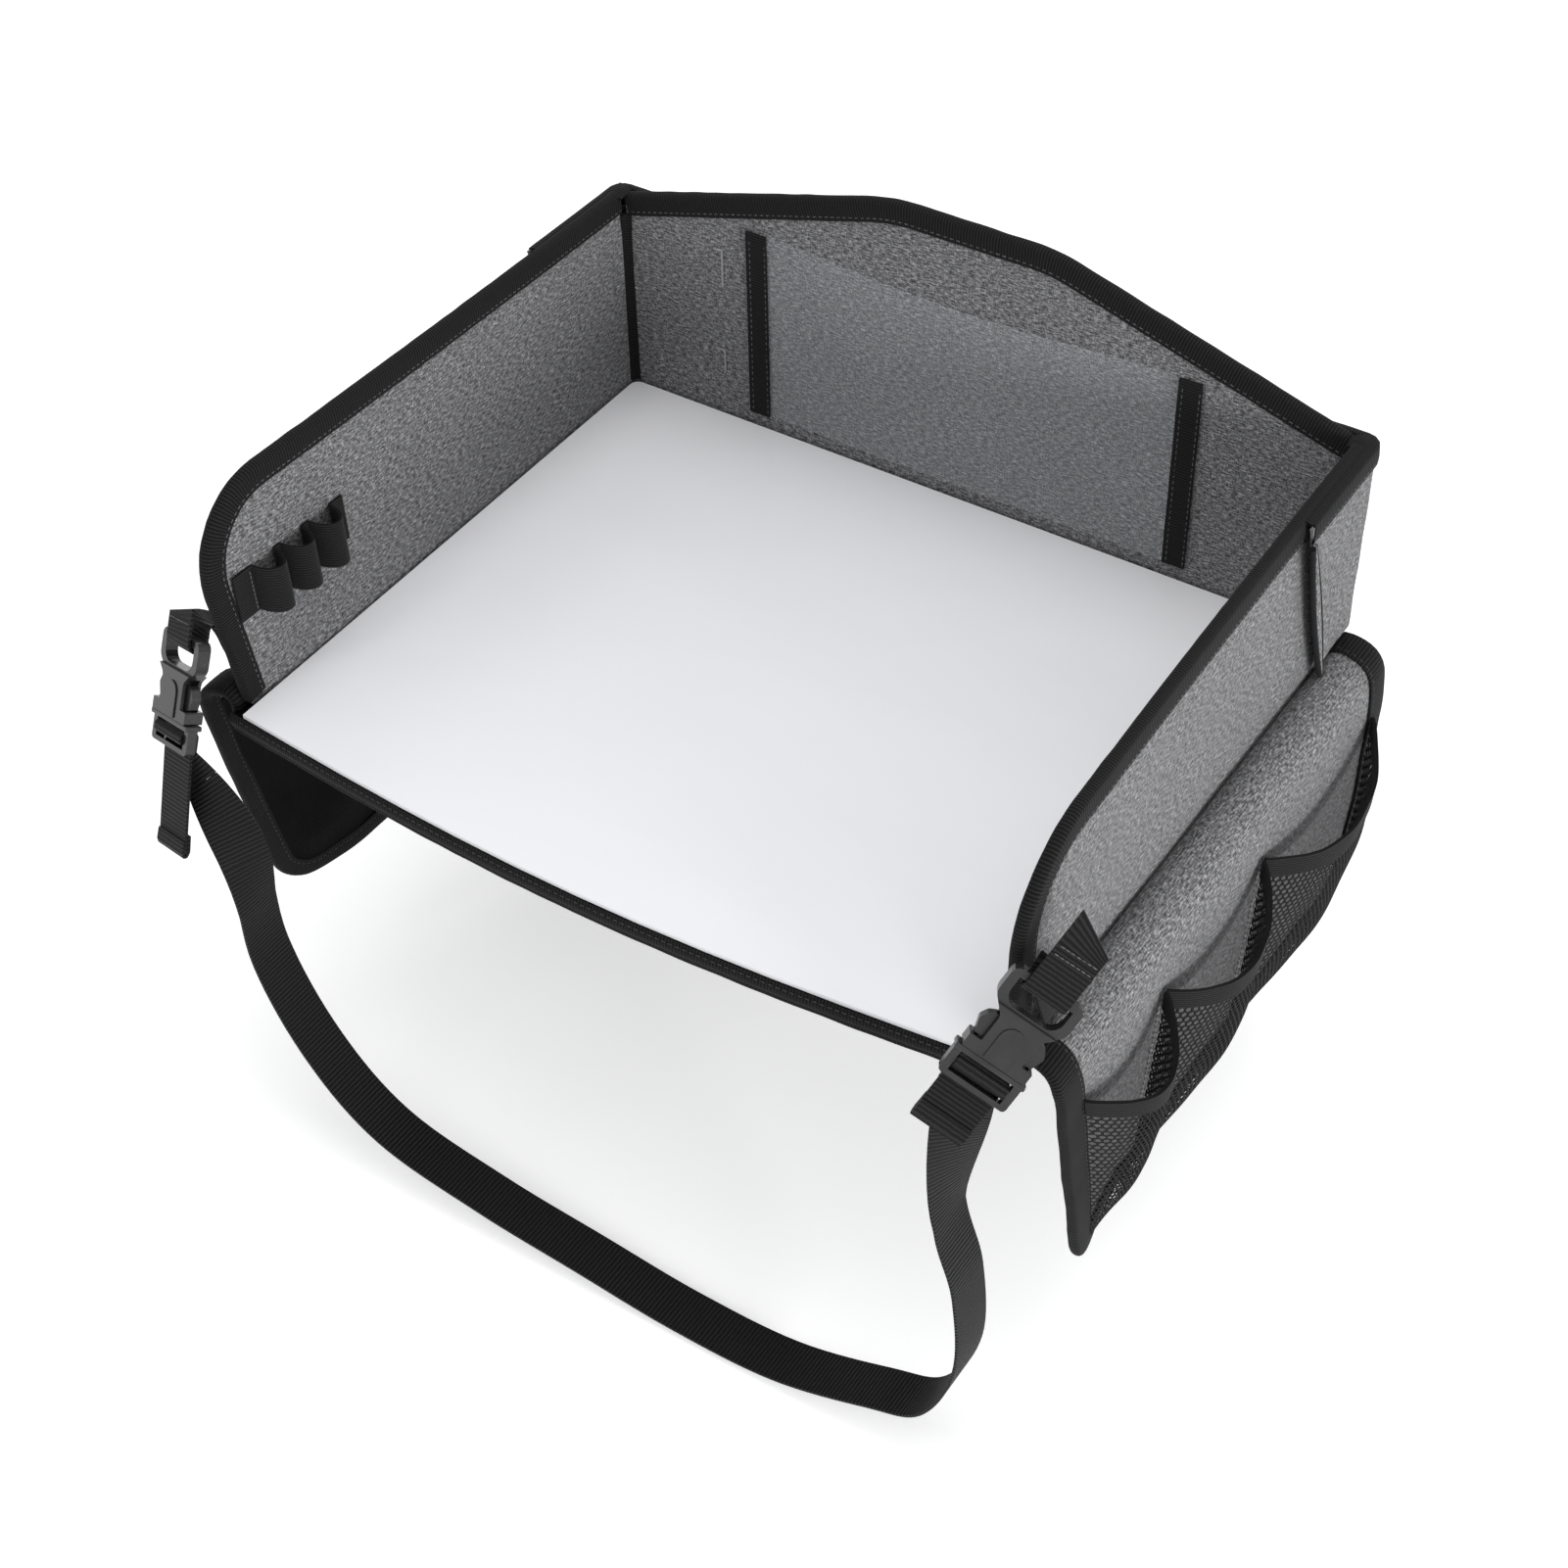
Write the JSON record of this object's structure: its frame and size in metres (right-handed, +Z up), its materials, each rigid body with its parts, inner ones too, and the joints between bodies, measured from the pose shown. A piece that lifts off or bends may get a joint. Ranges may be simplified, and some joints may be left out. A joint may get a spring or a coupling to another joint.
{
  "type": "car seat tray table",
  "caption": "Child's travel tray with a stiff drawing board, three folding cloth walls, a tablet window, pen loops, side flaps with net pockets and a buckled belt.",
  "frame": {"origin": "centre of the base's underside, which lies on the child's lap", "axes": "+X to the right and +Y away from the child, +Z up"},
  "size_m": [0.5212, 0.3872, 0.3972],
  "materials": {
    "black_binding_tape": "black grosgrain binding tape",
    "black_elastic": "ribbed black elastic",
    "black_net": "black knitted net",
    "black_nylon_lining": "smooth black nylon",
    "black_plastic": "satin black moulded plastic",
    "black_webbing": "ribbed black webbing",
    "clear_window_film": "clear flexible film",
    "grey_melange_cloth": "grey melange woven polyester",
    "stiffener_board": "plain board, hidden inside the cloth",
    "white_wipe_clean_board": "white wipe-clean film on board"
  },
  "bodies": {
    "base": {"base_casing": "black_nylon_lining", "base_stiffener": "stiffener_board", "drawing_board": "white_wipe_clean_board", "front_binding": "black_binding_tape", "left_web_tab": "black_webbing", "right_web_tab": "black_webbing", "left_flap_gusset": "grey_melange_cloth", "right_flap_gusset": "grey_melange_cloth", "strap": "black_webbing", "left_corner_gusset": "grey_melange_cloth", "right_corner_gusset": "grey_melange_cloth", "left_corner_binding": "black_binding_tape", "right_corner_binding": "black_binding_tape"},
    "back_wall": {"back_wall_binding": "black_binding_tape", "back_wall_board": "stiffener_board", "back_wall_cover": "grey_melange_cloth", "left_window_strip": "black_binding_tape", "right_window_strip": "black_binding_tape", "tablet_window": "clear_window_film"},
    "left_wall": {"left_wall_binding": "black_binding_tape", "left_wall_board": "stiffener_board", "left_wall_cover": "grey_melange_cloth", "pen_band": "black_elastic"},
    "left_flap": {"left_flap_binding": "black_binding_tape", "left_flap_lining": "black_nylon_lining", "left_flap_panel": "grey_melange_cloth", "left_flap_seam": "grey_melange_cloth", "left_front_net": "black_net", "left_front_pocket_band": "black_elastic", "left_middle_net": "black_net", "left_middle_pocket_band": "black_elastic", "left_rear_net": "black_net", "left_rear_pocket_band": "black_elastic"},
    "left_socket_body": {"left_socket": "black_plastic"},
    "left_plug_body": {"left_plug": "black_plastic"},
    "left_inner_arm_body": {"left_inner_arm": "black_plastic"},
    "left_outer_arm_body": {"left_outer_arm": "black_plastic"},
    "right_wall": {"right_wall_binding": "black_binding_tape", "right_wall_board": "stiffener_board", "right_wall_cover": "grey_melange_cloth"},
    "right_flap": {"right_flap_binding": "black_binding_tape", "right_flap_lining": "black_nylon_lining", "right_flap_panel": "grey_melange_cloth", "right_flap_seam": "grey_melange_cloth", "right_front_net": "black_net", "right_front_pocket_band": "black_elastic", "right_middle_net": "black_net", "right_middle_pocket_band": "black_elastic", "right_rear_net": "black_net", "right_rear_pocket_band": "black_elastic"},
    "right_socket_body": {"right_socket": "black_plastic"},
    "right_plug_body": {"right_plug": "black_plastic"},
    "right_inner_arm_body": {"right_inner_arm": "black_plastic"},
    "right_outer_arm_body": {"right_outer_arm": "black_plastic"}
  },
  "joints": [
    {"name": "back_wall_fold", "type": "hinge", "parent": "base", "child": "back_wall", "pos_m": [0, 0.161, 0.0123], "axis": [1, 0, 0], "range_deg": [0, 84], "deforming": ["left_corner_gusset", "left_corner_binding", "right_corner_gusset", "right_corner_binding"]},
    {"name": "left_wall_fold", "type": "hinge", "parent": "base", "child": "left_wall", "pos_m": [-0.205, 0, 0.0123], "axis": [0, -1, 0], "range_deg": [-70, 0], "deforming": ["left_corner_gusset", "left_corner_binding"]},
    {"name": "left_flap_swing", "type": "hinge", "parent": "base", "child": "left_flap", "pos_m": [-0.2358, 0, -0.0005], "axis": [0, 1, 0], "range_deg": [-78, 88]},
    {"name": "right_wall_fold", "type": "hinge", "parent": "base", "child": "right_wall", "pos_m": [0.205, 0, 0.0123], "axis": [0, 1, 0], "range_deg": [-86, 0], "deforming": ["right_corner_gusset", "right_corner_binding"]},
    {"name": "right_flap_swing", "type": "hinge", "parent": "base", "child": "right_flap", "pos_m": [0.2358, 0, -0.0005], "axis": [0, -1, 0], "range_deg": [-78, 88]},
    {"name": "left_buckle_swing", "type": "hinge", "parent": "base", "child": "left_socket_body", "pos_m": [-0.2284, -0.1682, 0.0485], "axis": [0.9282, -0.2759, 0.2495], "range_deg": [-12, 25], "deforming": ["strap"]},
    {"name": "left_buckle_release", "type": "slide", "parent": "left_socket_body", "child": "left_plug_body", "axis": [0.0867, -0.492, -0.8663], "range_m": [0, 0.03], "deforming": ["strap", "left_inner_arm", "left_outer_arm"]},
    {"name": "left_inner_arm_squeeze", "type": "hinge", "parent": "left_plug_body", "child": "left_inner_arm_body", "pos_m": [-0.23503, -0.18399, 0.01282], "axis": [0.3618, 0.8257, -0.4328], "range_deg": [0, 12], "stiffness_Nm_per_rad": 0.05},
    {"name": "left_outer_arm_squeeze", "type": "hinge", "parent": "left_plug_body", "child": "left_outer_arm_body", "pos_m": [-0.21517, -0.1899, 0.01816], "axis": [-0.3618, -0.8257, 0.4328], "range_deg": [0, 12], "stiffness_Nm_per_rad": 0.05},
    {"name": "right_buckle_swing", "type": "hinge", "parent": "base", "child": "right_socket_body", "pos_m": [0.2317, -0.1686, 0.0689], "axis": [0.8343, 0.2013, -0.5132], "range_deg": [-12, 25], "deforming": ["strap"]},
    {"name": "right_buckle_release", "type": "slide", "parent": "right_socket_body", "child": "right_plug_body", "axis": [-0.3142, -0.5912, -0.7428], "range_m": [0, 0.03], "deforming": ["strap", "right_inner_arm", "right_outer_arm"]},
    {"name": "right_inner_arm_squeeze", "type": "hinge", "parent": "right_plug_body", "child": "right_inner_arm_body", "pos_m": [0.2108, -0.19328, 0.04609], "axis": [-0.4529, 0.781, -0.43], "range_deg": [0, 12], "stiffness_Nm_per_rad": 0.05},
    {"name": "right_outer_arm_squeeze", "type": "hinge", "parent": "right_plug_body", "child": "right_outer_arm_body", "pos_m": [0.22866, -0.18897, 0.03511], "axis": [0.4529, -0.781, 0.43], "range_deg": [0, 12], "stiffness_Nm_per_rad": 0.05}
  ],
  "couplings": [
    {"joint": "left_outer_arm_squeeze", "follows": "left_inner_arm_squeeze", "ratio": 1},
    {"joint": "right_outer_arm_squeeze", "follows": "right_inner_arm_squeeze", "ratio": 1}
  ]
}
